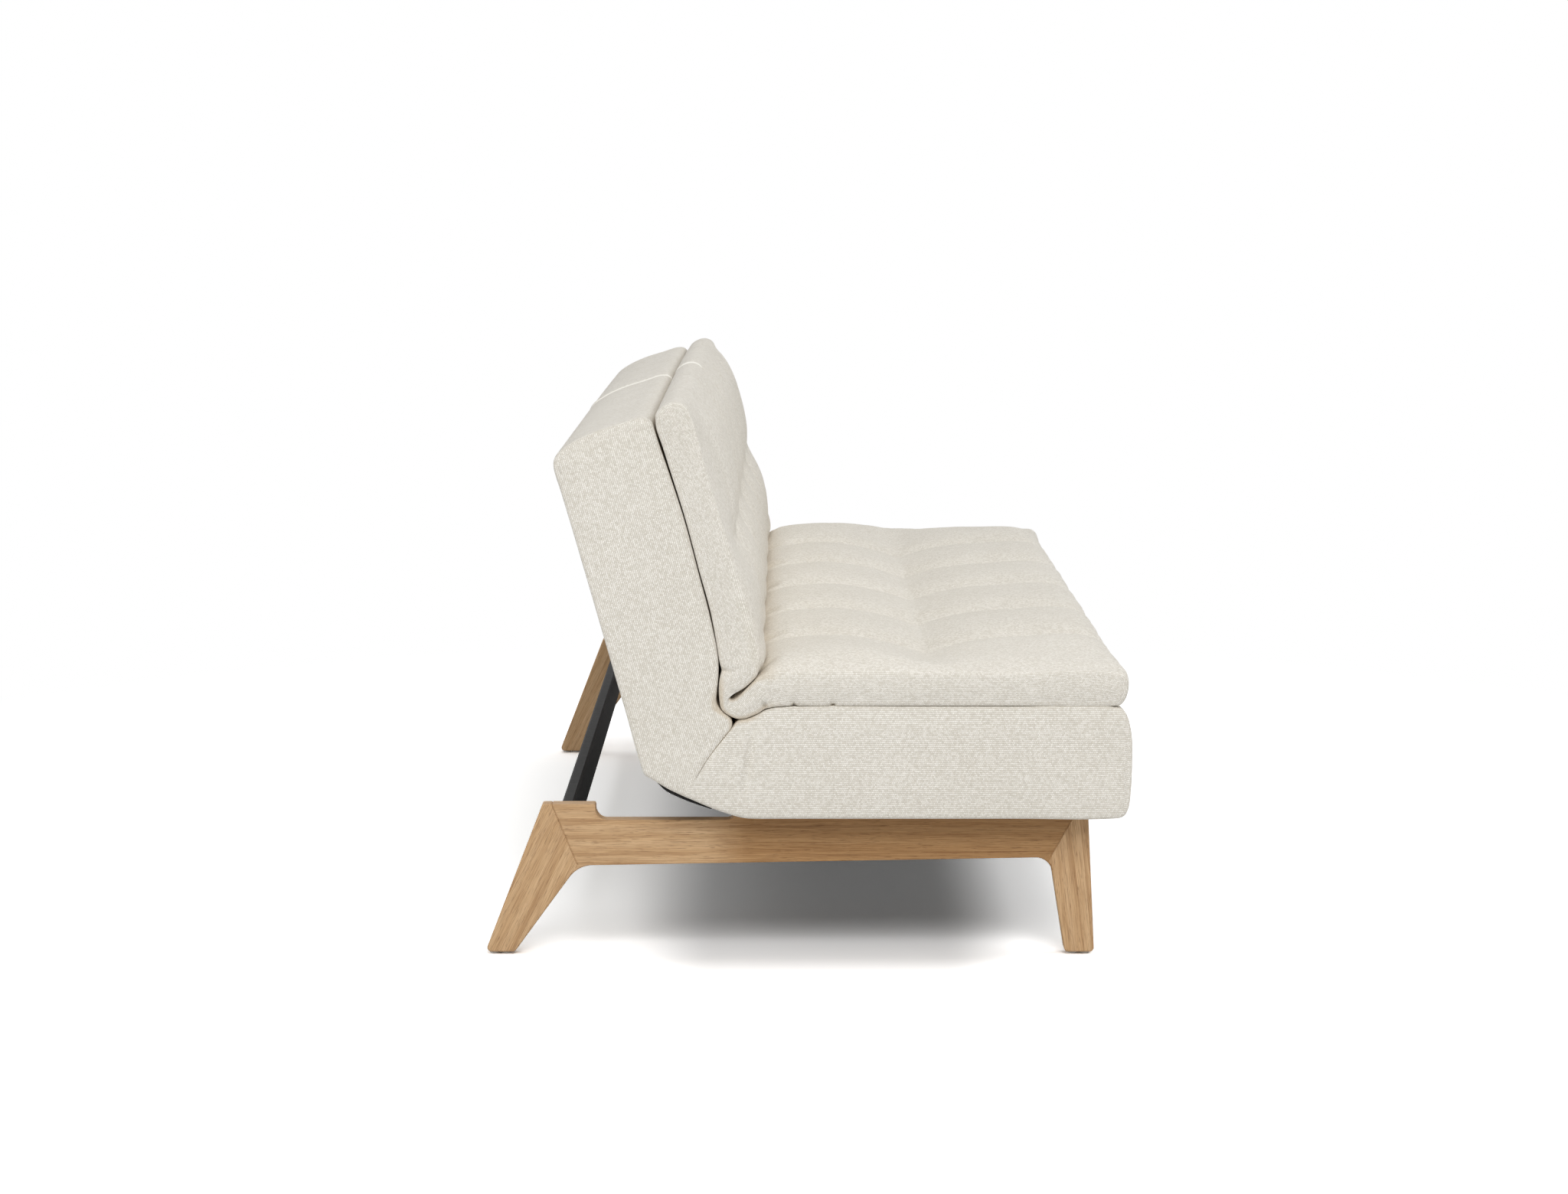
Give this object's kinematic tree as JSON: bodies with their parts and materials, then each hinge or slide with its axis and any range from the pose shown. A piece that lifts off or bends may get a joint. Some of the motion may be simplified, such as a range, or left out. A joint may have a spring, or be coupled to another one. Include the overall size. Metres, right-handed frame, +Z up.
{
  "type": "sofa bed",
  "caption": "Armless split-back sofa bed with quilted toppers on a ribbed cream base, whose back halves recline flat, on angled oak end frames.",
  "frame": {"origin": "on the floor under the middle of the sofa bed's bounding box, in its sofa position", "axes": "+X along the length, from the end seen in the picture to the other one; -Y is the front, where people sit down; +Z up"},
  "size_m": [2.1, 0.906, 0.7895],
  "materials": {
    "oak": "oiled solid oak, open grain",
    "frame": "black powder coat, satin",
    "hinges": "zinc plated",
    "slats": "bare beech plywood",
    "glides": "off-white, matte",
    "lining": "black lining cloth",
    "topper": "quilted ribbed cream upholstery cloth",
    "base_cover": "ribbed cream upholstery cloth",
    "rear_cover": "ribbed cream upholstery cloth"
  },
  "bodies": {
    "base": {"left_rear_leg": "oak", "left_rail": "oak", "left_front_leg": "oak", "left_rear_glide_outer": "glides", "left_rear_glide_inner": "glides", "left_front_glide_outer": "glides", "left_front_glide_inner": "glides", "left_outer_hinge_fork": "hinges", "left_inner_hinge_fork": "hinges", "left_base_fold": "lining", "left_topper_fold": "topper", "right_rear_leg": "oak", "right_rail": "oak", "right_front_leg": "oak", "right_rear_glide_outer": "glides", "right_rear_glide_inner": "glides", "right_front_glide_outer": "glides", "right_front_glide_inner": "glides", "right_outer_hinge_fork": "hinges", "right_inner_hinge_fork": "hinges", "right_base_fold": "lining", "right_topper_fold": "topper", "rear_crossbar": "frame", "front_crossbar": "frame", "seat_tube_front": "frame", "seat_tube_rear": "frame", "seat_tube_left": "frame", "seat_tube_right": "frame", "seat_slat_1": "slats", "seat_slat_2": "slats", "seat_slat_3": "slats", "seat_slat_4": "slats", "seat_slat_5": "slats", "seat_slat_6": "slats", "seat_lining": "lining", "seat_base": "base_cover", "seat_topper": "topper"},
    "left_back": {"left_back_base": "base_cover", "left_back_cover": "rear_cover", "left_back_topper": "topper", "left_back_tube_outer": "frame", "left_back_tube_inner": "frame", "left_back_tube_foot": "frame", "left_back_tube_top": "frame", "left_back_slat_1": "slats", "left_back_slat_2": "slats", "left_outer_hinge_arm": "hinges", "left_inner_hinge_arm": "hinges"},
    "right_back": {"right_back_base": "base_cover", "right_back_cover": "rear_cover", "right_back_topper": "topper", "right_back_tube_outer": "frame", "right_back_tube_inner": "frame", "right_back_tube_foot": "frame", "right_back_tube_top": "frame", "right_back_slat_1": "slats", "right_back_slat_2": "slats", "right_outer_hinge_arm": "hinges", "right_inner_hinge_arm": "hinges"}
  },
  "joints": [
    {"name": "left_back_recline", "type": "hinge", "parent": "base", "child": "left_back", "pos_m": [-0.525, 0.18, 0.265], "axis": [-1, 0, 0], "range_deg": [0, 73.95], "deforming": ["left_base_fold", "left_topper_fold"]},
    {"name": "right_back_recline", "type": "hinge", "parent": "base", "child": "right_back", "pos_m": [0.525, 0.18, 0.265], "axis": [-1, 0, 0], "range_deg": [0, 73.95], "deforming": ["right_base_fold", "right_topper_fold"]}
  ]
}
